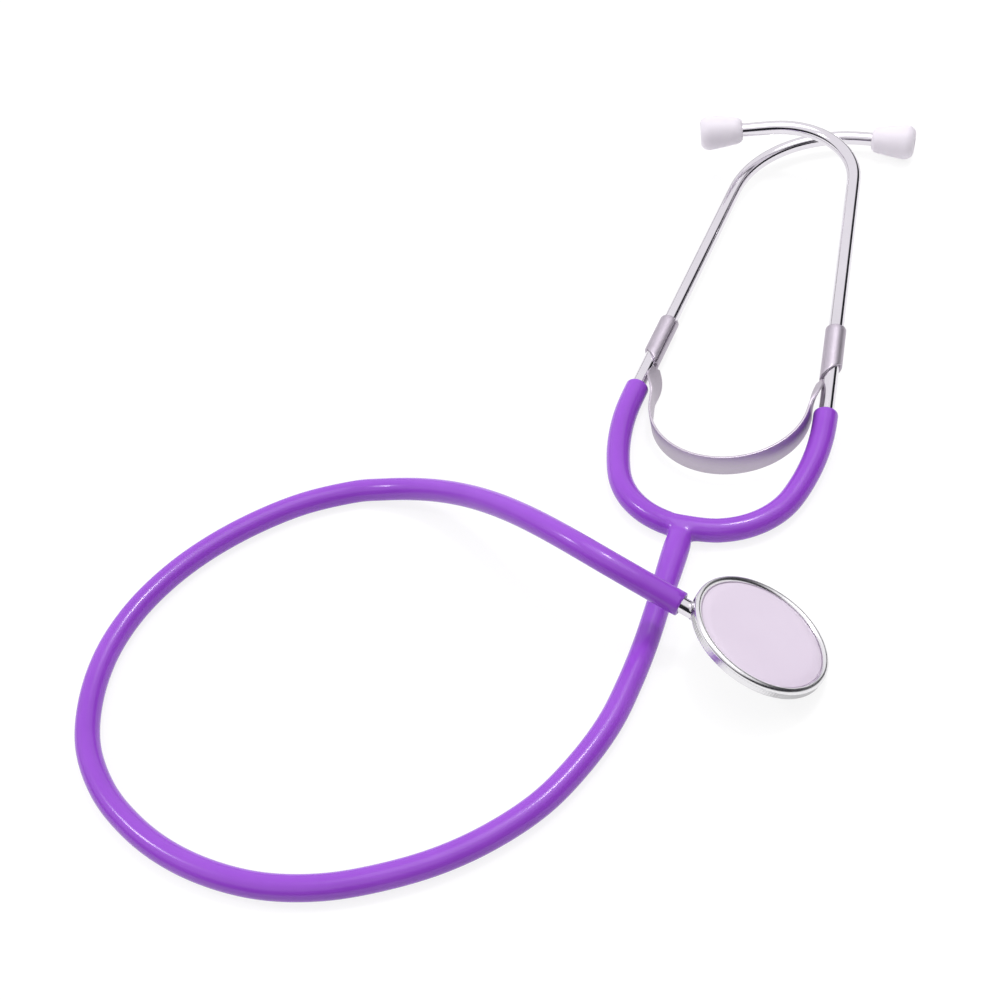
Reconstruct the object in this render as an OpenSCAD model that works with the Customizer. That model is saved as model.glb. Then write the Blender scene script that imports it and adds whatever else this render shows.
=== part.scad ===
// Stethoscope with a single flat chestpiece, lying on a table.
// Two bent metal ear tubes are held in a leaf spring and pushed into the arms
// of a moulded Y-shaped hose, whose far end carries the chestpiece.
// X runs from the left arm to the right arm, Y from the yoke to the ear tips,
// Z up. The origin is on the table, under the middle of the yoke.

/* [Hose and yoke] */
// Outside diameter of the free hose
hose_d = 7.6; // [6.6:0.1:8.4]
// Bore of the hose, the yoke and its arms
hose_bore = 4.4; // [3:0.1:4.8]
// Outside diameter of the yoke's arms
arm_d = 7.8; // [7.4:0.1:7.9]
// Outside diameter of the yoke's neck
neck_d = 8.2; // [8:0.1:9]
// Outside diameter of the sockets that hold the ear tubes
socket_d = 8.2; // [8.1:0.1:9]
// Length of the neck, from the middle of the bar to the hose
neck_len = 26; // [20:1:32]
// Distance of the neck from the middle between the ear tubes
neck_x = -2.4; // [-3:0.1:0]
// Half of the straight bar between the arm bends
bar_half = 2; // [1.5:0.1:3]
// Bend radius of the arms beside the neck
arm_r = 28.5; // [27:0.5:30]
// Angle of that bend, in degrees
arm_turn = 70; // [67:1:73]
// Bend radius of the arms from there to the sockets
side_r = 80; // [72:1:88]
// Length of the straight socket on the left arm
left_socket = 5.8; // [4:0.1:8]
// Length of the straight socket on the right arm
right_socket = 2.4; // [2:0.1:5]
// Radius of the rounded lip at the socket's mouth
lip_r = 1; // [0.6:0.1:1.3]
// Length of the hose end that is stretched over the chestpiece's stem
cuff_len = 12; // [8:1:16]

/* [Ear tubes] */
// Outside diameter of the ear tubes
tube_d = 5.2; // [4.6:0.1:6]
// Wall of the ear tubes
tube_wall = 0.7; // [0.5:0.1:1]
// Straight length of an ear tube, from its lower end to its bend
tube_straight = 122; // [116:1:126]
// Depth of the ear tubes in their sockets
tube_seat = 9.6; // [7:0.2:12]
// Lean of the ear tubes towards each other, in degrees
tube_lean = 5.05; // [4.6:0.05:5.6]
// Bend radius of the left ear tube
left_bend_r = 42.5; // [39:0.5:44]
// Bend radius of the right ear tube
right_bend_r = 29; // [27:0.5:32]
// Angle of the left ear tube's bend, in degrees
left_bend = 86; // [80:1:88]
// Angle of the right ear tube's bend, in degrees
right_bend = 100; // [94:1:103]
// Length of the left ear tube from the start of its bend to its upper end
left_tail = 80; // [78:1:86]
// Length of the right ear tube from the start of its bend to its upper end
right_tail = 74; // [72:1:80]
// Rise of the left ear tube above the table, in degrees
left_rise = 0.85; // [0.8:0.05:1.2]
// Rise of the right ear tube above the table, in degrees
right_rise = 5.5; // [5.3:0.1:6.5]

/* [Ear tips] */
// Largest diameter of the ear tips
tip_d = 13.2; // [12:0.1:13.4]
// Length of the ear tips
tip_len = 16.4; // [15:0.1:17]
// Diameter of the ear tips where the tube goes in
tip_base_d = 6; // [5.8:0.1:7.6]
// Diameter of the ear tips at the end of their rounded shoulder
tip_shoulder_d = 10.6; // [9:0.1:11.6]
// Length of the rounded shoulder
tip_shoulder = 3.6; // [2.4:0.1:5]
// Diameter of the flat end of the ear tips
tip_end_d = 7.6; // [6:0.1:9]
// Diameter of the sound hole
tip_hole_d = 3; // [2:0.1:3.4]
// Length of the ear tip beyond the end of the tube
tip_cover = 4; // [3:0.5:6]

/* [Leaf spring] */
// Thickness of the spring strip
strip_t = 0.8; // [0.5:0.1:1.2]
// Width of the spring strip
strip_w = 8; // [6:0.5:10]
// Distance from the arms' side bends to the centre of the spring's bow
bow_rise = 33; // [31:0.5:35]
// Distance of the bow's centre from the middle between the ear tubes
bow_x = 1.2; // [0:0.1:1.4]
// Step of the spring's legs outwards from its bow
leg_flare = 1.9; // [1.7:0.1:3]
// Wall of the clips that are rolled round the ear tubes
clip_wall = 0.9; // [0.6:0.1:1.2]
// Length of the clips
clip_len = 23.5; // [20:0.5:26]
// Distance along the ear tube from the arm's side bend to the clip
clip_start = 49.8; // [48:0.1:53]
// Open seam of the clips
clip_seam = 1.4; // [0.8:0.1:2]
// Angle of the slanting cut at the lower end of the clips
clip_slant = 46; // [30:1:50]

/* [Chestpiece] */
// Outside diameter of the retaining ring
ring_d = 44; // [42:0.5:46]
// Height of the retaining ring
ring_h = 3.6; // [3:0.1:4.2]
// Width of the ring's rounded front bead
bead_w = 2.1; // [1.6:0.1:2.6]
// Wall of the ring outside its thread
ring_wall = 1.25; // [1:0.05:1.5]
// Thickness of the diaphragm's clamped edge
diaphragm_t = 0.5; // [0.3:0.05:0.7]
// Height of the diaphragm's raised middle
crown_h = 0.5; // [0.3:0.05:0.8]
// Thickness of the body behind the ring
body_t = 6; // [5.6:0.1:8]
// Diameter of the flat back of the body
back_d = 18; // [12:1:24]
// Width of the body's rim under the diaphragm
rim_w = 1.4; // [1:0.1:2]
// Outside diameter of the stem
stem_d = 5; // [4.4:0.1:5.4]
// Bore of the stem
stem_bore = 3; // [2:0.1:3.4]
// Bare length of stem between the ring and the hose
stem_show = 2; // [1:0.5:5]
// Depth of the stem in the body's edge
stem_seat = 10; // [8:0.5:14]
// Place of the chestpiece across the table
chest_x = 32.2; // [31:0.1:35]
// Place of the chestpiece along the table
chest_y = -42.3; // [-45:0.1:-40]
// Tilt of the chestpiece, in degrees
chest_tilt = 31; // [28:0.5:34]
// Direction that the tilted chestpiece faces, in degrees
chest_turn = 31; // [28:0.5:34]
// Direction of the stem round the chestpiece, in degrees
chest_spin = 147; // [144:0.5:150]

/* [Fits] */
// Radial clearance of a running fit
run_gap = 0.05; // [0.02:0.01:0.1]
// Clearance between pieces that only lie against each other
seat_gap = 0.15; // [0.1:0.01:0.3]

/* [Hidden] */
$fn = 64;

// Side of the headset: the right half is modelled, the left half is its mirror image
left = -1;
right = 1;
function socket(side) = side == left ? left_socket : right_socket;
function bend(side) = side == left ? left_bend : right_bend;
function bend_r(side) = side == left ? left_bend_r : right_bend_r;
function tail(side) = side == left ? left_tail : right_tail;
function rise(side) = side == left ? left_rise : right_rise;

// Height of the yoke's axis, so that neck and sockets lie on the table
axis_z = max(neck_d, socket_d) / 2;
// Angle of the short arm stubs that belong to the yoke
stub_turn = 14;
// The arm steps up in diameter from its first bend to its side bend and to its socket
side_d = (arm_d + socket_d) / 2;
side_bore = hose_bore - (side_d - arm_d);
side_lap = 0.5;
socket_lap = 0.5;
// Foot of the ear tube's line, level with the start of the arm's side bend
side_turn = 90 + tube_lean - arm_turn;
side_off = side_r * (1 - cos(side_turn));
side_y = side_r * sin(side_turn);
foot_x = bar_half + arm_r * sin(arm_turn) + side_off * cos(tube_lean);
foot_y = arm_r - arm_r * cos(arm_turn) + side_off * sin(tube_lean);
// Mouth of the socket, lower end of the ear tube and start of its bend, along the tube
function mouth_y(side) = side_y + socket(side);
function tube_y(side) = mouth_y(side) - tube_seat;
function bend_y(side) = tube_y(side) + tube_straight;
// Straight length of the ear tube after its bend
function tail_len(side) = tail(side) - bend_r(side) * bend(side) * PI / 180;
tube_fit_d = tube_d + 2 * run_gap;
// Bending draws a bar a little thinner, so the straight parts step down to the bend
bend_draw = 0.04;
bend_lap = 0.5;
clip_d = tube_fit_d + 2 * clip_wall;
// Length by which a bore or a cut runs past the face that it opens
cut_past = 1;

// The strip's legs run at a tangent from the bow to the inner wall of the clips
leg_gap = 2 * seat_gap;
leg_t = strip_t - bend_draw;
leg_w = strip_w - bend_draw;
lap_y = clip_start - leg_gap;
leg_off = clip_d / 2 - strip_t / 2;
leg_x = foot_x - lap_y * sin(tube_lean) - leg_off * cos(tube_lean);
leg_y = foot_y + lap_y * cos(tube_lean) - leg_off * sin(tube_lean);
bow_r = leg_x - leg_flare;
bow_y = foot_y + bow_rise;
function leg_out(side) = leg_x - side * bow_x;
function leg_reach(side) = norm([leg_out(side), leg_y - bow_y]);
function bow_end(side) = atan2(leg_y - bow_y, leg_out(side)) - acos(bow_r / leg_reach(side));
function leg_len(side) = sqrt(leg_reach(side) * leg_reach(side) - bow_r * bow_r);
function lap_z(side) = axis_z + lap_y * sin(rise(side));
bow_roll = atan((lap_z(right) - lap_z(left)) / (2 * leg_x));
bow_z = (lap_z(left) + lap_z(right)) / 2 + bow_x * tan(bow_roll);

// Ear tip outline: points on each of its two curves, and the share of its length behind the nose
tip_steps = 8;
tip_peak = 0.78;

// Chestpiece heights, counted back from the ring's front
thread_r = ring_d / 2 - ring_wall - run_gap;
bead_r = bead_w / 2;
lip_back = bead_r + seat_gap;
lip_in_r = ring_d / 2 - bead_w;
diaphragm_top = lip_back + run_gap;
rim_top = diaphragm_top + diaphragm_t + run_gap;
stem_drop = ring_h + seat_gap + run_gap + stem_d / 2;
body_top = ring_h + run_gap;
body_back = body_top + body_t;
flange_h = 0.8;
flange_in = 1.8;
flange_r = ring_d / 2 - flange_in;
dish_depth = 1.2;
dish_r = 3;
sound_hole_d = 2.6;
crown_gap = 0.2;
stem_out = ring_d / 2 + stem_show;
stem_short = 1;
chest_z = ring_d / 2 * sin(chest_tilt) + ring_h * cos(chest_tilt) + seat_gap;

// Turns of a vector about the Z and Y axes, to follow the chestpiece's placing
function about_z(a, v) = [cos(a) * v.x - sin(a) * v.y, sin(a) * v.x + cos(a) * v.y, v.z];
function about_y(a, v) = [cos(a) * v.x + sin(a) * v.z, v.y, cos(a) * v.z - sin(a) * v.x];
function chest_dir(v) = about_z(chest_turn, about_y(chest_tilt, about_z(chest_spin, v)));
chest_pos = [chest_x, chest_y, chest_z];
stem_dir = chest_dir([1, 0, 0]);
cuff_end = chest_pos + chest_dir([stem_out + cuff_len, 0, -stem_drop]);

// Route of the free hose: from the neck round the loop, then a climb over the neck to the stem
hose_z = hose_d / 2;
lead_len = 8;
climb_from = [-115, -8, hose_z];
climb_pull = [42, 13.5, 1.7];
climb_to = cuff_end + lead_len / 2 * stem_dir;
climb_reach = 37;
climb_back = climb_to + climb_reach * stem_dir;
climb_steps = 12;
function climb(t) = pow(1 - t, 3) * climb_from + 3 * pow(1 - t, 2) * t * (climb_from + climb_pull)
    + 3 * (1 - t) * t * t * climb_back + pow(t, 3) * climb_to;
hose_route = concat(
    [[neck_x, -neck_len, axis_z], [neck_x, -neck_len - lead_len, axis_z]],
    [[-2.6, -47, hose_z], [-3.5, -61, hose_z], [-5.5, -76, hose_z], [-10, -91, hose_z], [-17, -106, hose_z],
     [-27, -119, hose_z], [-39, -130, hose_z], [-53, -139, hose_z], [-68, -146, hose_z],
     [-84, -150, hose_z], [-100, -150.5, hose_z], [-116, -148, hose_z], [-131, -142.5, hose_z],
     [-145, -134, hose_z], [-157, -121.5, hose_z], [-164.5, -106, hose_z], [-168, -89, hose_z],
     [-167, -72, hose_z], [-162, -56, hose_z], [-154, -41.5, hose_z], [-143, -28, hose_z],
     [-130, -16.5, hose_z]],
    [for (i = [0:climb_steps]) climb(i / climb_steps)],
    [cuff_end]);
hose_sides = 12;
function unit(v) = v / norm(v);
function tangent(p, i) = unit(p[min(i + 1, len(p) - 1)] - p[max(i - 1, 0)]);
function hose_ring(p, i) =
    let (t = tangent(p, i), s = unit(cross(t, [0, 0, 1])), u = cross(s, t))
    [for (k = [0:hose_sides - 1])
        p[i] + hose_d / 2 * (cos(360 * k / hose_sides) * s + sin(360 * k / hose_sides) * u)];

// Place in the headset's half on the given side
module half(side) {
    mirror([side == left ? 1 : 0, 0, 0]) translate([0, 0, axis_z]) children();
}

// Place along an ear tube: Y runs up the tube from its foot, X points outwards
module along_tube(side) {
    half(side) translate([foot_x, foot_y, 0]) rotate([0, 0, tube_lean])
        rotate([rise(side), 0, 0]) children();
}

// Turn from the straight part of an ear tube to the end of its bend: Y runs on to the ear tip
module past_bend(side) {
    translate([-bend_r(side), bend_y(side), 0]) rotate([0, 0, bend(side)])
        translate([bend_r(side), 0, 0]) children();
}

// Place on the chestpiece: X runs out along the stem, Z out of the front
module on_chest() {
    translate(chest_pos) rotate([0, 0, chest_turn]) rotate([0, chest_tilt, 0])
        rotate([0, 0, chest_spin]) children();
}

// Round bar along Y
module rod(d, from, to) {
    translate([0, from, 0]) rotate([-90, 0, 0]) cylinder(d = d, h = to - from);
}

// Round bar along a stretch of the arm's first bend, between two angles
module arm_bend(d, from, to) {
    translate([bar_half, arm_r, 0]) rotate([0, 0, from - 90]) rotate_extrude(angle = to - from)
        translate([arm_r, 0]) circle(d = d);
}

// Round bar along the arm's side bend, in the place of its ear tube
module side_bend(d) {
    translate([-side_r, side_y, 0]) rotate([0, 0, -side_turn - side_lap])
        rotate_extrude(angle = side_turn + side_lap) translate([side_r, 0]) circle(d = d);
}

module yoke_bar(d, turn) {
    half_len = bar_half + bend_lap;
    translate([-half_len, 0, 0]) rotate([0, 90, 0]) cylinder(d = d + bend_draw, h = 2 * half_len);
    arm_bend(d, 0, turn);
    mirror([1, 0, 0]) arm_bend(d, 0, turn);
}

module yoke() {
    color("mediumpurple") translate([0, 0, axis_z]) difference() {
        union() {
            yoke_bar(arm_d, stub_turn);
            translate([neck_x, 0, 0]) rod(neck_d, -neck_len, 0);
            translate([neck_x, 0, 0]) sphere(d = neck_d);
        }
        yoke_bar(hose_bore, stub_turn + cut_past);
        translate([neck_x, 0, 0]) rod(hose_bore, -neck_len - cut_past, 0);
    }
}

module arm(side) {
    difference() {
        union() {
            half(side) arm_bend(arm_d, stub_turn, arm_turn);
            along_tube(side) side_bend(side_d);
            along_tube(side) rod(socket_d, side_y - socket_lap, mouth_y(side) - lip_r);
            along_tube(side) translate([0, mouth_y(side) - lip_r, 0]) rotate([-90, 0, 0])
                rotate_extrude() translate([socket_d / 2 - lip_r, 0]) circle(r = lip_r);
        }
        half(side) arm_bend(hose_bore, stub_turn - cut_past, arm_turn);
        along_tube(side) side_bend(side_bore);
        along_tube(side) rod(tube_fit_d, tube_y(side) - seat_gap, mouth_y(side) + cut_past);
    }
}

module left_arm() { color("mediumpurple") arm(left); }
module right_arm() { color("mediumpurple") arm(right); }

module hose() {
    rings = [for (i = [0:len(hose_route) - 1]) hose_ring(hose_route, i)];
    last = len(rings) - 1;
    points = [for (r = rings) each r];
    sides = [for (i = [0:last - 1], k = [0:hose_sides - 1])
        let (a = i * hose_sides + k, b = i * hose_sides + (k + 1) % hose_sides)
        each [[a, b, b + hose_sides], [a, b + hose_sides, a + hose_sides]]];
    caps = [for (k = [1:hose_sides - 2])
        each [[0, k + 1, k],
              [last * hose_sides, last * hose_sides + k, last * hose_sides + k + 1]]];
    color("mediumpurple") polyhedron(points, concat(sides, caps));
}

module hose_cuff() {
    color("mediumpurple") on_chest() translate([stem_out, 0, -stem_drop]) rotate([0, 90, 0])
        difference() {
            cylinder(d = hose_d, h = cuff_len);
            translate([0, 0, -cut_past])
                cylinder(d = stem_d + 2 * run_gap, h = cuff_len + 2 * cut_past);
        }
}

module strip_leg(side) {
    rotate([0, 0, bow_end(side)]) translate([bow_r - leg_t / 2, -bend_lap, -leg_w / 2])
        cube([leg_t, leg_len(side) + bend_lap, leg_w]);
}

module leaf_spring() {
    color("silver") translate([bow_x, bow_y, bow_z]) rotate([0, -bow_roll, 0]) {
        rotate([0, 0, 180 - bow_end(left)])
            rotate_extrude(angle = 180 + bow_end(left) + bow_end(right))
                translate([bow_r - strip_t / 2, -strip_w / 2]) square([strip_t, strip_w]);
        strip_leg(right);
        mirror([1, 0, 0]) strip_leg(left);
    }
}

module spring_clip(side) {
    cut_w = 2 * clip_d;
    along_tube(side) difference() {
        rod(clip_d, clip_start, clip_start + clip_len);
        rod(tube_fit_d, clip_start - cut_past, clip_start + clip_len + cut_past);
        translate([-clip_seam / 2, clip_start - cut_past, 0])
            cube([clip_seam, clip_len + 2 * cut_past, clip_d]);
        translate([-clip_d / 2, clip_start, -cut_w / 2]) rotate([0, 0, clip_slant])
            translate([0, -cut_w, 0]) cube([2 * cut_w, cut_w, cut_w]);
    }
}

module left_spring_clip() { color("silver") spring_clip(left); }
module right_spring_clip() { color("silver") spring_clip(right); }

module tube_bar(side, d, past) {
    rod(d, tube_y(side) - past, bend_y(side) + bend_lap);
    translate([-bend_r(side), bend_y(side), 0]) rotate_extrude(angle = bend(side))
        translate([bend_r(side), 0]) circle(d = d - bend_draw);
    past_bend(side) rod(d, -bend_lap, tail_len(side) + past);
}

module ear_tube(side) {
    along_tube(side) difference() {
        tube_bar(side, tube_d, 0);
        tube_bar(side, tube_d - 2 * tube_wall, cut_past);
    }
}

module left_ear_tube() { color("gainsboro") ear_tube(left); }
module right_ear_tube() { color("gainsboro") ear_tube(right); }

module ear_tip(side) {
    peak = tip_peak * tip_len;
    seat_len = tip_len - tip_cover;
    shoulder = [for (i = [0:tip_steps])
        let (a = 90 * i / tip_steps)
        [tip_base_d / 2 + (tip_shoulder_d - tip_base_d) / 2 * sin(a), tip_shoulder * (1 - cos(a))]];
    nose = [for (i = [0:tip_steps])
        let (a = 90 * i / tip_steps)
        [tip_end_d / 2 + (tip_d - tip_end_d) / 2 * cos(a), peak + (tip_len - peak) * sin(a)]];
    bore = [[tip_hole_d / 2, tip_len], [tip_hole_d / 2, seat_len], [tube_fit_d / 2, seat_len],
        [tube_fit_d / 2, 0]];
    along_tube(side) past_bend(side) translate([0, tail_len(side) - seat_len, 0])
        rotate([-90, 0, 0]) rotate_extrude() polygon(concat(shoulder, nose, bore));
}

module left_ear_tip() { color("lavender") ear_tip(left); }
module right_ear_tip() { color("lavender") ear_tip(right); }

module stem() {
    stem_in = ring_d / 2 - stem_seat;
    color("silver") on_chest() translate([stem_in, 0, -stem_drop]) rotate([0, 90, 0])
        difference() {
            cylinder(d = stem_d, h = stem_out + cuff_len - stem_in - stem_short);
            translate([0, 0, -cut_past]) cylinder(d = stem_bore, h = stem_out + cuff_len);
        }
}

module chest_body() {
    stem_in = ring_d / 2 - stem_seat;
    outline = [[0, -body_back], [back_d / 2, -body_back],
        [flange_r, -body_top - flange_h], [flange_r, -body_top], [thread_r, -body_top],
        [thread_r, -rim_top], [thread_r - rim_w, -rim_top], [dish_r, -rim_top - dish_depth],
        [0, -rim_top - dish_depth]];
    color("silver") on_chest() difference() {
        union() {
            rotate_extrude() polygon(outline);
            translate([stem_in, 0, -stem_drop]) rotate([0, 90, 0])
                cylinder(d = stem_d + 2 * seat_gap, h = flange_r - stem_in);
        }
        translate([stem_in, 0, -stem_drop]) rotate([0, 90, 0]) cylinder(d = stem_d, h = ring_d);
        translate([0, 0, -stem_drop]) rotate([0, 90, 0]) cylinder(d = stem_bore, h = ring_d);
        translate([0, 0, -stem_drop]) cylinder(d = sound_hole_d, h = stem_drop);
    }
}

module diaphragm() {
    color("thistle") on_chest() {
        translate([0, 0, -diaphragm_top - diaphragm_t]) cylinder(r = thread_r, h = diaphragm_t);
        translate([0, 0, -diaphragm_top - diaphragm_t / 2])
            cylinder(r = lip_in_r - crown_gap, h = crown_h + diaphragm_t / 2);
    }
}

module retaining_ring() {
    mid_r = ring_d / 2 - bead_r;
    color("gainsboro") on_chest() rotate_extrude() difference() {
        union() {
            translate([mid_r, -bead_r]) circle(r = bead_r);
            translate([thread_r + run_gap, -ring_h]) square([ring_wall, ring_h - bead_r]);
        }
        translate([0, -ring_h - cut_past])
            square([thread_r + run_gap, ring_h + cut_past - lip_back]);
    }
}

yoke();
left_arm();
right_arm();
hose();
hose_cuff();
leaf_spring();
left_spring_clip();
right_spring_clip();
left_ear_tube();
right_ear_tube();
left_ear_tip();
right_ear_tip();
stem();
chest_body();
diaphragm();
retaining_ring();
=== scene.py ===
import math

import bmesh
import bpy
from mathutils import Matrix, Vector


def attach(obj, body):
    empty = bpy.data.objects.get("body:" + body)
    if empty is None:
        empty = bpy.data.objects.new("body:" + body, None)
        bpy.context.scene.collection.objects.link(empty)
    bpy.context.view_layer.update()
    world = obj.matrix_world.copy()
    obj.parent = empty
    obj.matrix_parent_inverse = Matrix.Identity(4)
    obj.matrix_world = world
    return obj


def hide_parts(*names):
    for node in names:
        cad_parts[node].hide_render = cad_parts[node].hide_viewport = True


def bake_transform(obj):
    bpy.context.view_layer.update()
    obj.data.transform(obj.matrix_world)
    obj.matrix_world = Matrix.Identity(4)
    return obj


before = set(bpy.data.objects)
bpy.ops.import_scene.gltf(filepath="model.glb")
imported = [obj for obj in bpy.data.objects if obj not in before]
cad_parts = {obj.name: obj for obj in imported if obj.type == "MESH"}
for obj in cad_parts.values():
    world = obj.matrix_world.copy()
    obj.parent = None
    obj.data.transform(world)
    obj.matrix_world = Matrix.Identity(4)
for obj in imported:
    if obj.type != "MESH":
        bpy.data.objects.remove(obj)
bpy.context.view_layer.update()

# The view: a camera above the near edge of the table, tilted a little to one
# side, looks down on the stethoscope as it lies spread out on the white top.
MM = 0.001
camera_place = Vector((82.445, -295.217, 368.897)) * MM
camera_right = Vector((0.941599, 0.311592, -0.127676))
camera_ahead = Vector((-0.298878, 0.598672, -0.743145))
camera_up = camera_right.cross(camera_ahead)
bpy.ops.object.select_all(action="DESELECT")
bpy.ops.object.camera_add()
camera = bpy.context.object
camera.name = "camera"
camera.matrix_world = Matrix.Translation(camera_place) @ Matrix(
    (camera_right, camera_up, -camera_ahead)).transposed().to_4x4()
camera.data.sensor_width = 36
camera.data.lens = 53.14
camera.data.clip_start = 0.01
bpy.context.scene.camera = camera
bpy.context.scene.view_settings.view_transform = "Standard"


# The table top is a smooth white sheet. It is lit to white, and keeps the soft
# shadow under the hose and the ear tubes.
class Wire:
    """A value in a material's nodes: arithmetic on it adds Math nodes."""

    def __init__(self, tree, socket):
        self.tree = tree
        self.socket = socket

    def maths(self, operation, *values):
        return node(self.tree, "ShaderNodeMath", {"operation": operation}, dict(enumerate(values)))

    def __add__(self, other):
        return self.maths("ADD", self, other)

    def __sub__(self, other):
        return self.maths("SUBTRACT", self, other)

    def __mul__(self, other):
        return self.maths("MULTIPLY", self, other)

    def __rsub__(self, other):
        return self.maths("SUBTRACT", other, self)

    __radd__ = __add__
    __rmul__ = __mul__

    def clamped(self):
        return node(self.tree, "ShaderNodeClamp", {}, {"Value": self})


def node(tree, kind, settings, sockets, output=0):
    """Adds a node with its settings, then the values or wires of its sockets."""
    made = tree.nodes.new(kind)
    for name, value in settings.items():
        if name == "stops":
            for stop, (place, colour) in zip(made.color_ramp.elements, value):
                stop.position = place
                stop.color = colour
        else:
            setattr(made, name, value)
    for name, value in sockets.items():
        if isinstance(value, Wire):
            tree.links.new(value.socket, made.inputs[name])
        else:
            made.inputs[name].default_value = value
    return Wire(tree, made.outputs[output]) if made.outputs else None


bpy.ops.object.select_all(action="DESELECT")
bpy.ops.mesh.primitive_plane_add(size=8, location=(0, 0, -0.0003))
table = bpy.context.object
table.name = "table"
sheet = bpy.data.materials.new("white_sheet")
sheet.use_nodes = True
tree = sheet.node_tree
tree.nodes.clear()
seen = (node(tree, "ShaderNodeLightPath", {}, {}, "Is Camera Ray")
        + node(tree, "ShaderNodeLightPath", {}, {}, "Is Glossy Ray")
        + node(tree, "ShaderNodeLightPath", {}, {}, "Is Transmission Ray")).clamped()
paper = node(tree, "ShaderNodeBsdfDiffuse", {}, {"Color": (0.93, 0.93, 0.93, 1)})
glow = node(tree, "ShaderNodeEmission", {}, {"Color": (1, 1, 1, 1), "Strength": 1.05})
node(tree, "ShaderNodeOutputMaterial", {}, {"Surface": node(
    tree, "ShaderNodeMixShader", {}, {0: seen * 0.8, 1: paper, 2: glow})})
table.data.materials.append(sheet)

# Studio light: a wide soft box overhead, two small ones for the highlights, and
# a white room with a dark wall low in front and on the right, which draws the
# dark stripes on the chromed tubes.
world = bpy.data.worlds.new("room")
bpy.context.scene.world = world
world.use_nodes = True
tree = world.node_tree
tree.nodes.clear()
seen = (node(tree, "ShaderNodeLightPath", {}, {}, "Is Camera Ray")
        + node(tree, "ShaderNodeLightPath", {}, {}, "Is Transmission Ray")).clamped()
mirrored = node(tree, "ShaderNodeLightPath", {}, {}, "Is Glossy Ray")
direction = node(tree, "ShaderNodeTexCoord", {}, {}, "Generated")
east, north, height = (node(tree, "ShaderNodeSeparateXYZ", {}, {0: direction}, axis) for axis in "XYZ")
wall = 0.78 * east.clamped() + 0.55 * (0 - north).clamped()
walls = node(tree, "ShaderNodeValToRGB", {"stops": [(0.02, (0.02, 0.02, 0.025, 1)),
                                                    (0.16, (0.97, 0.96, 0.98, 1))]}, {
    0: height - wall})
node(tree, "ShaderNodeOutputWorld", {}, {"Surface": node(tree, "ShaderNodeBackground", {}, {
    "Color": node(tree, "ShaderNodeMix", {"data_type": "RGBA"}, {
        0: seen, 6: walls, 7: (1, 1, 1, 1)}, 2),
    "Strength": 0.96 + 0.04 * (mirrored + seen).clamped()})})


def lamp(name, place, aim, size, power):
    bpy.ops.object.light_add(type="AREA", location=place)
    light = bpy.context.object
    light.name = name
    light.data.shape = "DISK"
    light.data.size = size
    light.data.energy = power
    light.rotation_euler = (Vector(aim) - Vector(place)).to_track_quat("-Z", "Y").to_euler()


lamp("overhead_box", (0.1, 0.25, 1.5), (0, 0, 0), 1.3, 6)
lamp("side_box", (-0.9, -0.2, 1.0), (0, 0, 0), 0.16, 2.5)
lamp("high_box", (0.1, 0.33, 1.25), (0, 0, 0), 0.2, 3.5)


# The hose is extruded soft vinyl, open at the end that is stretched over the
# chestpiece's stem. It leaves the yoke, lies in one wide loop on the table and
# climbs over its own start to the chestpiece.
def start_ring(name, sides, radius):
    """Leaves a new piece in edit mode, as one selected ring of edges about Z."""
    bpy.ops.object.select_all(action="DESELECT")
    bpy.ops.mesh.primitive_circle_add(vertices=sides, radius=radius)
    piece = bpy.context.object
    piece.name = name
    piece.data.name = name
    bpy.ops.object.mode_set(mode="EDIT")
    bpy.ops.mesh.select_mode(type="VERT")
    bpy.ops.mesh.select_all(action="SELECT")
    return piece


def turned(name, sides, outline, closed=False):
    """A piece turned about Z: each (radius, height) of the outline extrudes the last ring."""
    piece = start_ring(name, sides, outline[0][0])
    bpy.ops.transform.translate(value=(0, 0, outline[0][1]))
    for (radius, height), (last_radius, last_height) in zip(outline[1:], outline):
        bpy.ops.mesh.extrude_region_move(
            TRANSFORM_OT_translate={"value": (0, 0, height - last_height)})
        scale = radius / last_radius
        bpy.ops.transform.resize(value=(scale, scale, 1))
    if closed:
        bpy.ops.mesh.select_all(action="SELECT")
        bpy.ops.mesh.remove_doubles(threshold=1e-6)
    bpy.ops.mesh.select_all(action="SELECT")
    bpy.ops.mesh.normals_make_consistent(inside=False)
    bpy.ops.object.mode_set(mode="OBJECT")
    return piece


def lay_along(piece, route, axis="POS_Z"):
    """Bends a straight piece, which runs along the axis, to follow the points of the route."""
    line = bpy.data.curves.new("route", "CURVE")
    line.dimensions = "3D"
    line.twist_mode = "MINIMUM" if axis == "POS_Z" else "Z_UP"
    spline = line.splines.new("POLY")
    spline.points.add(len(route) - 1)
    for point, place in zip(spline.points, route):
        point.co = (*place, 1)
    guide = bpy.data.objects.new("route", line)
    bpy.context.scene.collection.objects.link(guide)
    bend = piece.modifiers.new("route", "CURVE")
    bend.object = guide
    bend.deform_axis = axis
    bpy.context.view_layer.objects.active = piece
    bpy.ops.object.modifier_apply(modifier="route")
    bpy.data.objects.remove(guide)


def through(points, step):
    """A smooth curve through the points, with a new point about every step."""
    ends = [2 * points[0] - points[1]] + points + [2 * points[-1] - points[-2]]
    curve = []
    for a, b, c, d in zip(ends, ends[1:], ends[2:], ends[3:]):
        parts = max(1, round((c - b).length / step))
        for k in range(parts):
            t = k / parts
            curve.append(0.5 * (2 * b + (c - a) * t + (2 * a - 5 * b + 4 * c - d) * t * t
                                + (3 * b - a - 3 * c + d) * t ** 3))
    return curve + [points[-1]]


def length_of(route):
    return sum((b - a).length for a, b in zip(route, route[1:]))


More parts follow.
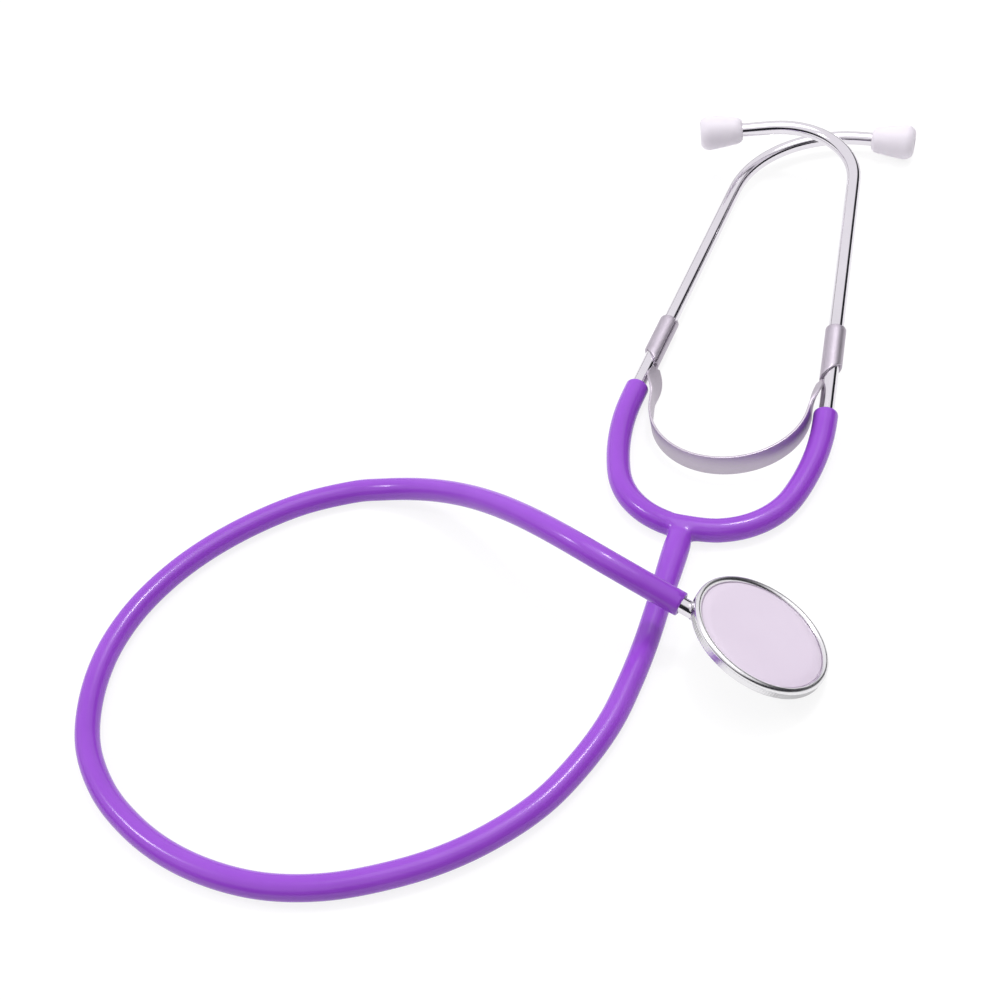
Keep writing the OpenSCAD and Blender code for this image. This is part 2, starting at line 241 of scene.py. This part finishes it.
def pick(piece, kind, test):
    """Selects the vertices, or the faces by their middles, that pass the test."""
    bpy.ops.mesh.select_mode(type="VERT" if kind == "verts" else "FACE")
    bpy.ops.mesh.select_all(action="DESELECT")
    cage = bmesh.from_edit_mesh(piece.data)
    for part in getattr(cage, kind):
        part.select_set(test(part.co if kind == "verts" else part.calc_center_median()))
    cage.select_flush_mode()
    bmesh.update_edit_mesh(piece.data)


def mottled(name, first, second, scale, detail, smooth, spread, metallic=0.0, stretch=(1, 1, 1)):
    """A finish that drifts in soft patches from one colour to another, and in roughness."""
    material = bpy.data.materials.new(name)
    material.use_nodes = True
    tree = material.node_tree
    place = node(tree, "ShaderNodeTexCoord", {}, {}, "Object")
    grain = node(tree, "ShaderNodeMapping", {}, {"Vector": place, "Scale": stretch})
    patches = node(tree, "ShaderNodeTexNoise", {}, {
        "Vector": grain, "Scale": scale, "Detail": detail}, "Fac")
    colour = node(tree, "ShaderNodeMix", {"data_type": "RGBA"}, {
        0: patches, 6: (*first, 1), 7: (*second, 1)}, 2)
    surface = tree.nodes["Principled BSDF"]
    surface.inputs["Metallic"].default_value = metallic
    tree.links.new(colour.socket, surface.inputs["Base Color"])
    tree.links.new((smooth + spread * patches).socket, surface.inputs["Roughness"])
    return material


def finish_piece(piece, material, body, slot, *replaced):
    """Gives a piece its material and its moving body, and hides the solids that it stands for."""
    bpy.ops.object.select_all(action="DESELECT")
    piece.select_set(True)
    bpy.context.view_layer.objects.active = piece
    bpy.ops.object.shade_smooth_by_angle(angle=math.radians(40))
    piece.data.materials.append(material)
    if body:
        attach(piece, body)
    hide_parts(*replaced)


hose_d = 7.6 * MM
hose_r = hose_d / 2
yoke_z = 4.1 * MM
neck_x = -2.4 * MM
neck_end = Vector((neck_x, -26 * MM, yoke_z))
lead = 8 * MM
cuff_len = 12 * MM
stem_drop = 6.3 * MM
stem_reach = 24 * MM
chest_tilt = math.radians(31)
chest_turn = math.radians(31)
chest_spin = math.radians(147)
chest_place = Matrix.Translation(Vector((32.2, -42.3, 14.5666)) * MM) @ (
    Matrix.Rotation(chest_turn, 4, "Z") @ Matrix.Rotation(chest_tilt, 4, "Y")
    @ Matrix.Rotation(chest_spin, 4, "Z"))
stem_dir = chest_place.to_3x3() @ Vector((1, 0, 0))
hose_mouth = chest_place @ Vector((stem_reach, 0, -stem_drop))
cuff_end = hose_mouth + cuff_len * stem_dir
loop = [(-2.6, -47), (-3.5, -61), (-5.5, -76), (-10, -91), (-17, -106),
        (-27, -119), (-39, -130), (-53, -139), (-68, -146), (-84, -150),
        (-100, -150.5), (-116, -148), (-131, -142.5), (-145, -134),
        (-157, -121.5), (-164.5, -106), (-168, -89), (-167, -72),
        (-162, -56), (-154, -41.5), (-143, -28), (-130, -16.5)]
climb_from = Vector((-115 * MM, -8 * MM, hose_r))
climb_pull = Vector((42, 13.5, 1.7)) * MM
climb_to = cuff_end + lead / 2 * stem_dir
climb_reach = 37 * MM
climb_back = climb_to + climb_reach * stem_dir
climb = []
for k in range(13):
    t = k / 12
    climb.append((1 - t) ** 3 * climb_from + 3 * (1 - t) ** 2 * t * (climb_from + climb_pull)
                 + 3 * (1 - t) * t * t * climb_back + t ** 3 * climb_to)
hose_route = through([neck_end, neck_end - Vector((0, lead, 0))]
                     + [Vector((x * MM, y * MM, hose_r)) for x, y in loop]
                     + climb + [cuff_end, hose_mouth], 0.8 * MM)
hose_len = length_of(hose_route)
cuff_bore_r = 2.55 * MM
rings = 330
tuck = 0.08 * MM
hose_edge = 0.5 * MM
outline = [(hose_r - tuck, -8 * tuck)]
outline += [(hose_r, hose_len * k / rings) for k in range(rings)]
outline += [(hose_r, hose_len - hose_edge), (hose_r - 0.3 * hose_edge, hose_len - 0.3 * hose_edge),
            (hose_r - hose_edge, hose_len), (cuff_bore_r + hose_edge, hose_len),
            (cuff_bore_r, hose_len - hose_edge), (cuff_bore_r, hose_len - cuff_len)]
hose = turned("hose_tube", 40, outline)
lay_along(hose, hose_route)
# The hose's end is cut a little aslant, so that its wall shows beside the stem.
slant = math.radians(16)
slant_axis = chest_place.to_3x3() @ Vector((0, -0.6, 0.8))
bpy.ops.object.mode_set(mode="EDIT")
pick(hose, "verts", lambda co: (co - hose_mouth).dot(stem_dir) < 1.2 * hose_edge
     and (co - hose_mouth).length < 1.5 * hose_r)
bpy.ops.transform.rotate(value=slant, orient_axis="Z", center_override=hose_mouth,
                         orient_matrix=slant_axis.to_track_quat("Z", "Y").to_matrix())
bpy.ops.object.mode_set(mode="OBJECT")

vinyl = mottled("purple_vinyl", (0.25, 0.045, 0.53), (0.33, 0.08, 0.64), 45.0, 3.0, 0.16, 0.08)
tree = vinyl.node_tree
place = node(tree, "ShaderNodeTexCoord", {}, {}, "Object")
grain = node(tree, "ShaderNodeTexNoise", {}, {"Vector": place, "Scale": 900.0, "Detail": 2.0}, "Fac")
skin = node(tree, "ShaderNodeBump", {}, {"Strength": 0.01, "Distance": 0.0001, "Height": grain})
surface = tree.nodes["Principled BSDF"]
surface.inputs["Specular IOR Level"].default_value = 0.45
tree.links.new(skin.socket, surface.inputs["Normal"])
finish_piece(hose, vinyl, "tubing", "hose_vinyl", "hose", "hose_cuff")


# The yoke is the moulded middle of the Y, in one with the hose and the arms: a
# short bar that flows with a fillet into the neck, which thins down to the hose.
def apply_modifier(piece, kind, **settings):
    modifier = piece.modifiers.new(kind, kind)
    for name, value in settings.items():
        setattr(modifier, name, value)
    bpy.context.view_layer.objects.active = piece
    bpy.ops.object.modifier_apply(modifier=kind)


arm_tube_r = 3.9 * MM
neck_r = 4.1 * MM
bar_half = 2 * MM
arm_r = 28.5 * MM
stub_turn = math.radians(14)
# An eight-sided cage settles to this share of its radius when it is smoothed.
cage_share = (2 + math.cos(math.radians(45))) / 3
cage_r = arm_tube_r / cage_share
root_half = 3.4 * MM
fillet_drop = 2.5 * MM
fillet_spread = (1.18, 1, 1.12)
snap = 1e-5
bpy.ops.object.select_all(action="DESELECT")
bpy.ops.mesh.primitive_cylinder_add(vertices=8, radius=cage_r, depth=2 * root_half,
                                    end_fill_type="NOTHING", location=(neck_x, 0, yoke_z),
                                    rotation=(0, math.radians(90), 0))
yoke = bpy.context.object
yoke.name = "yoke_moulding"
bpy.ops.object.transform_apply(location=True, rotation=True, scale=True)
bpy.ops.object.mode_set(mode="EDIT")
bpy.ops.mesh.select_all(action="SELECT")
bpy.ops.mesh.bisect(plane_co=(neck_x, 0, yoke_z), plane_no=(1, 0, 0))
for side in (-1, 1):
    root_x = neck_x + side * root_half
    last = Vector((root_x, 0, yoke_z))
    last_turn = 0
    pick(yoke, "verts", lambda co: abs(co.x - root_x) < snap)
    for turn in (0.4 * stub_turn, 0.85 * stub_turn, stub_turn):
        stub = Vector((side * (bar_half + arm_r * math.sin(turn)), arm_r * (1 - math.cos(turn)), yoke_z))
        if side * (stub.x - root_x) > 1 * MM:
            bpy.ops.mesh.extrude_region_move(TRANSFORM_OT_translate={"value": stub - last})
            bpy.ops.transform.rotate(value=-side * (turn - last_turn), orient_axis="Z",
                                     center_override=stub)
            last = stub
            last_turn = turn
pick(yoke, "faces", lambda co: abs(co.x - neck_x) < root_half and co.y < -0.75 * cage_r)
bpy.ops.mesh.delete(type="FACE")
pick(yoke, "verts", lambda co: abs(co.x - neck_x) < root_half + snap and co.y < -0.6 * cage_r)
bpy.ops.mesh.extrude_region_move(TRANSFORM_OT_translate={"value": (0, -fillet_drop, 0)})
bpy.ops.transform.resize(value=(1, 0, 1))
bpy.ops.transform.tosphere(value=1)
bpy.ops.transform.resize(value=fillet_spread)
for ring_y, ring_r in ((-9.5 * MM, neck_r), (-13 * MM, neck_r), (-20 * MM, 0.5 * (neck_r + hose_r)),
                       (-24 * MM, hose_r), (-26 * MM, hose_r)):
    cage = bmesh.from_edit_mesh(yoke.data)
    low = [v.co.copy() for v in cage.verts if v.select]
    middle = sum(low, Vector()) / len(low)
    reach = sum((co - middle).length for co in low) / len(low)
    bpy.ops.mesh.extrude_region_move(TRANSFORM_OT_translate={
        "value": Vector((neck_x, ring_y, yoke_z)) - middle})
    share = ring_r / cage_share / reach
    bpy.ops.transform.resize(value=(share, 1, share))
bpy.ops.mesh.select_all(action="SELECT")
bpy.ops.mesh.normals_make_consistent(inside=False)
bpy.ops.object.mode_set(mode="OBJECT")
apply_modifier(yoke, "SUBSURF", levels=3)
finish_piece(yoke, vinyl, "tubing", "hose_vinyl", "yoke")

# The two arms are the branches of the same moulding. Each curves up from the
# yoke to a rounded mouth, and the end of an ear tube is pushed into it.
arm_turn = math.radians(70)
side_r = 80 * MM
tube_lean = math.radians(5.05)
side_turn = math.radians(90) + tube_lean - arm_turn
side_y = side_r * math.sin(side_turn)
side_off = side_r * (1 - math.cos(side_turn))
foot = Vector((bar_half + arm_r * math.sin(arm_turn) + side_off * math.cos(tube_lean),
               arm_r * (1 - math.cos(arm_turn)) + side_off * math.sin(tube_lean), yoke_z))
rise = {"left": math.radians(0.85), "right": math.radians(5.5)}
mouth_y = {"left": side_y + 5.8 * MM, "right": side_y + 2.4 * MM}
tube_r = 2.6 * MM
mouth_r = 4.1 * MM
lip = 1.1 * MM
run_gap = 0.05 * MM
mouth_deep = 9 * MM
bore_r = tube_r + run_gap


def on_tube(side):
    """The place of an ear tube: Y runs up the tube from its foot, X points outwards."""
    return (Matrix.Scale(-1 if side == "left" else 1, 4, (1, 0, 0)) @ Matrix.Translation(foot)
            @ Matrix.Rotation(tube_lean, 4, "Z") @ Matrix.Rotation(rise[side], 4, "X"))


def eased(route, rounds):
    """The route with its kinks worn down."""
    for _ in range(rounds):
        route = ([route[0]] + [(a + 2 * b + c) / 4 for a, b, c in zip(route, route[1:], route[2:])]
                 + [route[-1]])
    return route


arms = {}
for side in ("left", "right"):
    sign = -1 if side == "left" else 1
    route = []
    for k in range(40):
        turn = stub_turn + (arm_turn - stub_turn) * k / 40
        route.append(Vector((sign * (bar_half + arm_r * math.sin(turn)),
                             arm_r * (1 - math.cos(turn)), yoke_z)))
    for k in range(41):
        turn = side_turn * (1 - k / 40)
        route.append(on_tube(side) @ Vector((side_r * (math.cos(turn) - 1),
                                             side_y - side_r * math.sin(turn), 0)))
    route.append(on_tube(side) @ Vector((0, mouth_y[side], 0)))
    route = eased(through(route, 1 * MM), 12)
    arm_len = length_of(route)
    straight = arm_len - lip
    outline = [(arm_tube_r - tuck, -8 * tuck)]
    outline += [(arm_tube_r + (mouth_r - arm_tube_r) * (k / 60) ** 2, straight * k / 60)
                for k in range(61)]
    outline += [(mouth_r - lip + lip * math.cos(math.radians(a)),
                 straight + lip * math.sin(math.radians(a))) for a in range(15, 91, 15)]
    outline += [(tube_r + 0.2 * MM, arm_len - 0.05 * MM), (bore_r, arm_len - 0.3 * MM),
                (bore_r, arm_len - mouth_deep)]
    arms[side] = turned(side + "_arm_moulding", 48, outline)
    lay_along(arms[side], route)
    finish_piece(arms[side], vinyl, None, "hose_vinyl", side + "_arm")
    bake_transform(arms[side])

# The ear tubes are thin metal tubes, bent once and chromed. Their lower ends are
# pushed into the arms and their upper ends carry the ear tips.
bend_r = {"left": 42.5 * MM, "right": 29 * MM}
tube_bend = {"left": math.radians(86), "right": math.radians(100)}
tube_tail = {"left": 80 * MM, "right": 74 * MM}
tube_straight = 122 * MM
tube_seat = 9.6 * MM
tube_bore_r = 1.9 * MM
tube_edge = 0.15 * MM
hollow_end = 8 * MM
tail_len = {side: tube_tail[side] - bend_r[side] * tube_bend[side] for side in tube_tail}

chrome = mottled("chrome", (0.72, 0.69, 0.74), (0.82, 0.79, 0.84), 60.0, 4.0, 0.06, 0.10, metallic=1.0)


def past_bend(side):
    """The turn from the foot of an ear tube to the end of its bend, where Y runs on to the tip."""
    bend_y = mouth_y[side] - tube_seat + tube_straight
    return (Matrix.Translation((-bend_r[side], bend_y, 0)) @ Matrix.Rotation(tube_bend[side], 4, "Z")
            @ Matrix.Translation((bend_r[side], 0, 0)))


for side in ("left", "right"):
    low = mouth_y[side] - tube_seat
    route = [Vector((0, low + tube_straight * k / 30, 0)) for k in range(30)]
    for k in range(61):
        turn = tube_bend[side] * k / 60
        route.append(Vector((bend_r[side] * (math.cos(turn) - 1),
                             low + tube_straight + bend_r[side] * math.sin(turn), 0)))
    route += [past_bend(side) @ Vector((0, tail_len[side] * k / 8, 0)) for k in range(1, 9)]
    route = [on_tube(side) @ point for point in eased(through(route, 1 * MM), 16)]
    tube_len = length_of(route)
    outline = [(tube_bore_r, hollow_end), (tube_bore_r, tube_edge), (tube_bore_r + tube_edge, 0)]
    outline += [(tube_r - tube_edge, 0)]
    outline += [(tube_r, tube_edge + (tube_len - 2 * tube_edge) * k / 160) for k in range(161)]
    outline += [(tube_r - tube_edge, tube_len), (tube_bore_r + tube_edge, tube_len),
                (tube_bore_r, tube_len - tube_edge), (tube_bore_r, tube_len - hollow_end)]
    ear_tube = turned(side + "_chromed_tube", 40, outline)
    lay_along(ear_tube, route)
    finish_piece(ear_tube, chrome, side + "_ear", "chromed_tube", side + "_ear_tube")

# The ear tips are soft pale vinyl, with a rounded shoulder behind and a rounded
# nose round the sound hole. They are pulled over the ends of the tubes.
tip_len = 16.4 * MM
tip_base_r = 3 * MM
tip_shoulder_r = 5.3 * MM
tip_shoulder = 3.6 * MM
tip_r = 6.6 * MM
tip_end_r = 3.8 * MM
tip_hole_r = 1.5 * MM
tip_seat = 12.4 * MM
tip_step = tip_seat + 0.1 * MM
tip_peak = 0.78 * tip_len
taper_bow = 0.3
tip_bevel = 0.2 * MM
hole_round = 0.5 * MM

tip_vinyl = mottled("ear_tip_vinyl", (0.78, 0.73, 0.80), (0.86, 0.81, 0.88), 140.0, 3.0, 0.42, 0.12)


def place_piece(piece, matrix):
    """Moves a finished piece to its place, and leaves its object at the origin."""
    bpy.ops.object.select_all(action="DESELECT")
    piece.select_set(True)
    bpy.context.view_layer.objects.active = piece
    piece.matrix_world = matrix
    bpy.ops.object.transform_apply(location=True, rotation=True, scale=True)
    bpy.ops.object.mode_set(mode="EDIT")
    bpy.ops.mesh.select_all(action="SELECT")
    bpy.ops.mesh.normals_make_consistent(inside=False)
    bpy.ops.object.mode_set(mode="OBJECT")


stand_up = Matrix.Rotation(math.radians(-90), 4, "X")
for side in ("left", "right"):
    outline = [(bore_r, tip_step), (bore_r, tip_bevel), (tube_r + tip_bevel, 0)]
    for k in range(13):
        a = math.radians(90 * k / 12)
        outline.append((tip_base_r + (tip_shoulder_r - tip_base_r) * math.sin(a),
                        tip_shoulder * (1 - math.cos(a))))
    for k in range(1, 7):
        share = k / 6
        swell = share * (1 + taper_bow * (1 - share))
        outline.append((tip_shoulder_r + (tip_r - tip_shoulder_r) * swell,
                        tip_shoulder + (tip_peak - tip_shoulder) * share))
    for k in range(1, 13):
        a = math.radians(90 * k / 12)
        outline.append((tip_end_r + (tip_r - tip_end_r) * math.cos(a),
                        tip_peak + (tip_len - tip_peak) * math.sin(a)))
    outline += [(tip_hole_r + hole_round, tip_len - 0.05 * MM), (tip_hole_r, tip_len - hole_round),
                (tip_hole_r, tip_step), (bore_r, tip_step)]
    tip = turned(side + "_ear_tip_soft", 56, outline, closed=True)
    place_piece(tip, on_tube(side) @ past_bend(side)
                @ Matrix.Translation((0, tail_len[side] - tip_seat, 0)) @ stand_up)
    finish_piece(tip, tip_vinyl, side + "_tip", "ear_tip_vinyl", side + "_ear_tip")

# The leaf spring is one flat strip of satin steel, bowed between the ear tubes.
# Its ends widen into tabs that are rolled round the tubes as open sleeves.
strip_t = 0.8 * MM
strip_w = 8 * MM
clip_start = 49.8 * MM
clip_len = 23.5 * MM
clip_wall = 0.9 * MM
clip_r = bore_r + clip_wall
clip_slant = math.radians(46)
leg_gap = 0.3 * MM
lap_y = clip_start - leg_gap
leg_off = clip_r - strip_t / 2
leg = Vector((foot.x - lap_y * math.sin(tube_lean) - leg_off * math.cos(tube_lean),
              foot.y + lap_y * math.cos(tube_lean) - leg_off * math.sin(tube_lean)))
bow_x = 1.2 * MM
leg_flare = 1.9 * MM
bow_rise = 33 * MM
bow_r = leg.x - leg_flare
bow_y = foot.y + bow_rise
lap_z = {side: yoke_z + lap_y * math.sin(rise[side]) for side in rise}
bow_roll = math.atan((lap_z["right"] - lap_z["left"]) / (2 * leg.x))
bow_z = (lap_z["left"] + lap_z["right"]) / 2 + bow_x * math.tan(bow_roll)
bow_place = Matrix.Translation((bow_x, bow_y, bow_z)) @ Matrix.Rotation(-bow_roll, 4, "Y")

steel = mottled("satin_steel", (0.47, 0.42, 0.49), (0.62, 0.57, 0.64), 350.0, 4.0, 0.42, 0.16,
                metallic=1.0, stretch=(1, 1, 14))

strip_steps = 70
tab_start = 0.74
end_twist = math.radians(38)
tab_swell = 0.28
tab_taper = 0.6
strip_bevel = 0.18 * MM
for side in ("left", "right"):
    sign = -1 if side == "left" else 1
    leg_out = leg.x - sign * bow_x
    leg_reach = math.hypot(leg_out, leg.y - bow_y)
    leg_len = math.sqrt(leg_reach ** 2 - bow_r ** 2)
    bow_end = math.atan2(leg.y - bow_y, leg_out) - math.acos(bow_r / leg_reach)
    route = []
    for k in range(61):
        turn = (bow_end + math.radians(90)) * k / 60 - math.radians(90)
        route.append(Vector((sign * bow_r * math.cos(turn), bow_r * math.sin(turn), 0)))
    reach = Vector((-sign * math.sin(bow_end), math.cos(bow_end), 0))
    route += [route[60] + reach * leg_len * k / 20 for k in range(1, 21)]
    half_len = length_of(route)
    bpy.ops.object.select_all(action="DESELECT")
    bpy.ops.mesh.primitive_plane_add(size=1, rotation=(0, math.radians(90), 0))
    strip = bpy.context.object
    strip.name = side + "_spring_half"
    strip.scale = (strip_w, strip_t, 1)
    bpy.ops.object.transform_apply(location=True, rotation=True, scale=True)
    bpy.ops.object.mode_set(mode="EDIT")
    bpy.ops.mesh.select_all(action="SELECT")
    bpy.ops.mesh.delete(type="ONLY_FACE")
    bpy.ops.mesh.select_all(action="SELECT")
    width = 1
    twist = 0
    for k in range(1, strip_steps + 1):
        bpy.ops.mesh.extrude_region_move(TRANSFORM_OT_translate={
            "value": (half_len / strip_steps, 0, 0)})
        tab_share = max(0, k / strip_steps - tab_start) / (1 - tab_start)
        new_width = 1 + tab_swell * math.sin(math.radians(180 * tab_share)) - tab_taper * tab_share ** 2
        bpy.ops.transform.rotate(value=twist, orient_axis="X", center_override=(0, 0, 0))
        bpy.ops.transform.resize(value=(1, 1, new_width / width))
        width = new_width
        twist = sign * end_twist * math.sin(math.radians(90 * tab_share)) ** 1.5
        bpy.ops.transform.rotate(value=-twist, orient_axis="X", center_override=(0, 0, 0))
    bpy.ops.mesh.edge_face_add()
    bpy.ops.mesh.select_all(action="SELECT")
    bpy.ops.mesh.normals_make_consistent(inside=False)
    bpy.ops.object.mode_set(mode="OBJECT")
    apply_modifier(strip, "BEVEL", width=strip_bevel, segments=2, limit_method="ANGLE",
                   angle_limit=math.radians(50))
    lay_along(strip, route, "POS_X")
    place_piece(strip, bow_place)
    finish_piece(strip, steel, None, "spring_steel", "leaf_spring")
    bow_place @ route[0]
    bow_place @ route[-1]
    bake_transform(strip)

# The sleeves are the rolled ends of the strip. Each grips its ear tube, with a
# narrow open seam along it and a slanting cut at the lower end.
clip_mid_r = clip_r - clip_wall / 2
seam = {"left": math.radians(34), "right": math.radians(270)}
seam_half = math.radians(6)
clip_trim = 0.2 * MM
clip_bevel = 0.12 * MM
for side in ("left", "right"):
    clip = start_ring(side + "_sleeve", 72, clip_mid_r)
    for k in range(12):
        bpy.ops.mesh.extrude_region_move(TRANSFORM_OT_translate={"value": (0, 0, clip_len / 12)})
    # Seen along the tube, X points outwards and the top of the sleeve is at -Y.
    pick(clip, "faces", lambda co: abs(math.atan2(-co.y, co.x) - math.radians(180) + seam[side])
         < seam_half)
    bpy.ops.mesh.delete(type="FACE")
    bpy.ops.mesh.select_all(action="SELECT")
    bpy.ops.mesh.bisect(plane_co=(-clip_r, 0, clip_trim), clear_inner=True,
                        plane_no=(-math.sin(clip_slant), 0, math.cos(clip_slant)))
    bpy.ops.object.mode_set(mode="OBJECT")
    apply_modifier(clip, "SOLIDIFY", thickness=clip_wall, offset=0)
    apply_modifier(clip, "BEVEL", width=clip_bevel, segments=2, limit_method="ANGLE",
                   angle_limit=math.radians(50))
    place_piece(clip, on_tube(side) @ Matrix.Translation((0, clip_start, 0)) @ stand_up)
    finish_piece(clip, steel, side + "_clip", "spring_steel", side + "_spring_clip")

# The chestpiece's body is a shallow polished metal dish. The stem, a short
# chromed tube, is pressed into its edge and carries the hose.
ring_r = 22 * MM
ring_h = 3.6 * MM
thread_r = 20.7 * MM
flange_r = 20.2 * MM
rim_top = 1.8 * MM
body_top = 3.65 * MM
body_back = 9.65 * MM
back_r = 9 * MM
stem_r = 2.5 * MM
stem_in = 12 * MM
stem_len = 23 * MM
stem_bore_r = 1.5 * MM
stem_hollow = 6 * MM
stem_edge = 0.2 * MM
boss_fit = 0.02 * MM
boss_wall = 0.15 * MM

polished = mottled("polished_metal", (0.60, 0.59, 0.61), (0.72, 0.71, 0.73), 220.0, 5.0, 0.14, 0.14,
                   metallic=1.0)


def cap_ends(piece):
    """Closes the open rings of a turned piece."""
    bpy.ops.object.mode_set(mode="EDIT")
    bpy.ops.mesh.select_all(action="DESELECT")
    bpy.ops.mesh.select_mode(type="EDGE")
    bpy.ops.mesh.select_non_manifold()
    bpy.ops.mesh.fill_holes(sides=0)
    bpy.ops.mesh.select_all(action="SELECT")
    bpy.ops.mesh.normals_make_consistent(inside=False)
    bpy.ops.object.mode_set(mode="OBJECT")


soft_edge = 0.25 * MM
centre_r = 0.6 * MM
dish_r = 3 * MM
dish_deep = 1.2 * MM
rim_w = 1.4 * MM
flange_t = 0.9 * MM
dome_bulge = 0.35 * MM
outline = [(centre_r, -rim_top - dish_deep), (dish_r, -rim_top - dish_deep),
           (thread_r - rim_w, -rim_top - 0.05 * MM), (thread_r - rim_w, -rim_top),
           (thread_r, -rim_top), (thread_r, -body_top), (flange_r, -body_top - 0.05 * MM),
           (flange_r, -body_top - 0.6 * MM), (flange_r - soft_edge, -body_top - flange_t)]
for k in range(1, 13):
    share = k / 12
    bulge = dome_bulge * math.sin(math.radians(180 * share))
    outline.append((flange_r + (back_r - flange_r) * share - soft_edge * (1 - share) + bulge,
                    -body_top - flange_t - (body_back - body_top - flange_t) * share))
outline += [(back_r - 0.6 * MM, -body_back), (centre_r, -body_back)]
dish = turned("chest_dish", 96, outline)
cap_ends(dish)
boss = turned("stem_boss", 40, [(stem_r + boss_fit, 0), (stem_r + boss_wall, 0),
                                (stem_r + boss_wall, flange_r - stem_in - 0.1 * MM),
                                (stem_r + boss_fit, flange_r - stem_in)])
along_stem = Matrix.Translation((stem_in, 0, -stem_drop)) @ Matrix.Rotation(math.radians(90), 4, "Y")
place_piece(boss, along_stem)
dish.select_set(True)
boss.select_set(True)
bpy.context.view_layer.objects.active = dish
bpy.ops.object.join()
place_piece(dish, chest_place)
finish_piece(dish, polished, "chestpiece", "chestpiece_metal", "chest_body")

stem = turned("stem_tube", 40, [(stem_bore_r, stem_hollow), (stem_bore_r, 0), (stem_r - stem_edge, 0),
                                (stem_r, stem_edge), (stem_r, stem_len - stem_edge),
                                (stem_r - stem_edge, stem_len), (stem_bore_r, stem_len),
                                (stem_bore_r, stem_len - stem_hollow)])
place_piece(stem, chest_place @ along_stem)
finish_piece(stem, chrome, "chestpiece", "chromed_tube", "stem")

# The diaphragm is a thin pale plastic disc. Its edge is clamped between the
# body's rim and the ring, and its middle stands a little proud.
disc_top = 1.25 * MM
disc_t = 0.5 * MM
crown_r = 19.7 * MM
crown_z = disc_top - 0.5 * MM

film = mottled("pale_plastic", (0.70, 0.60, 0.73), (0.78, 0.69, 0.81), 35.0, 3.0, 0.32, 0.16)

outline = [(1 * MM, -disc_top - disc_t), (thread_r - 0.1 * MM, -disc_top - disc_t),
           (thread_r - 0.05 * MM, -disc_top - 0.05 * MM), (thread_r - 0.1 * MM, -disc_top),
           (crown_r, -disc_top), (crown_r - 0.1 * MM, -crown_z - 0.1 * MM),
           (crown_r - 0.3 * MM, -crown_z)]
outline += [(crown_r * (1 - k / 6), -crown_z) for k in range(1, 6)] + [(1 * MM, -crown_z)]
disc = turned("diaphragm_disc", 96, outline)
cap_ends(disc)
place_piece(disc, chest_place)
finish_piece(disc, film, "membrane", "diaphragm_plastic", "diaphragm")

# The retaining ring is turned metal, chromed. It screws over the body's edge:
# a rounded bead in front, a fine knurl round its side for the fingers.
satin = mottled("satin_chrome", (0.76, 0.75, 0.77), (0.86, 0.85, 0.87), 180.0, 4.0, 0.18, 0.14,
                metallic=1.0)

bead = 1.05 * MM
skirt_in = 20.75 * MM
lip_back = 1.2 * MM
knurl_count = 150
knurl_depth = 0.28 * MM
lip_w = 0.9 * MM
groove = 0.1 * MM
knurl_inset = 0.03 * MM
back_bevel = 0.3 * MM
outline = [(skirt_in, -ring_h), (skirt_in, -lip_back), (ring_r - bead - lip_w, -lip_back)]
outline += [(ring_r - bead + bead * math.cos(math.radians(a)), -bead + bead * math.sin(math.radians(a)))
            for a in range(180, -1, -12)]
outline += [(ring_r - groove, -bead - 0.3 * MM), (ring_r - groove, -bead - 0.45 * MM)]
knurl_top = -bead - 0.6 * MM
knurl_low = -ring_h + back_bevel
outline += [(ring_r - knurl_inset, knurl_top), (ring_r - knurl_inset, knurl_low)]
outline += [(ring_r - back_bevel, -ring_h), (skirt_in, -ring_h)]
ring = turned("knurled_ring", 2 * knurl_count, outline, closed=True)
bpy.ops.object.mode_set(mode="EDIT")
pick(ring, "verts", lambda co: knurl_low - 1e-6 < co.z < knurl_top + 1e-6
     and co.xy.length > ring_r - knurl_depth
     and round(math.atan2(co.y, co.x) * knurl_count / math.pi) % 2 == 0)
notch = 1 - knurl_depth / ring_r
bpy.ops.transform.resize(value=(notch, notch, 1), center_override=(0, 0, 0))
bpy.ops.object.mode_set(mode="OBJECT")
place_piece(ring, chest_place)
finish_piece(ring, satin, "ring", "chromed_ring", "retaining_ring")
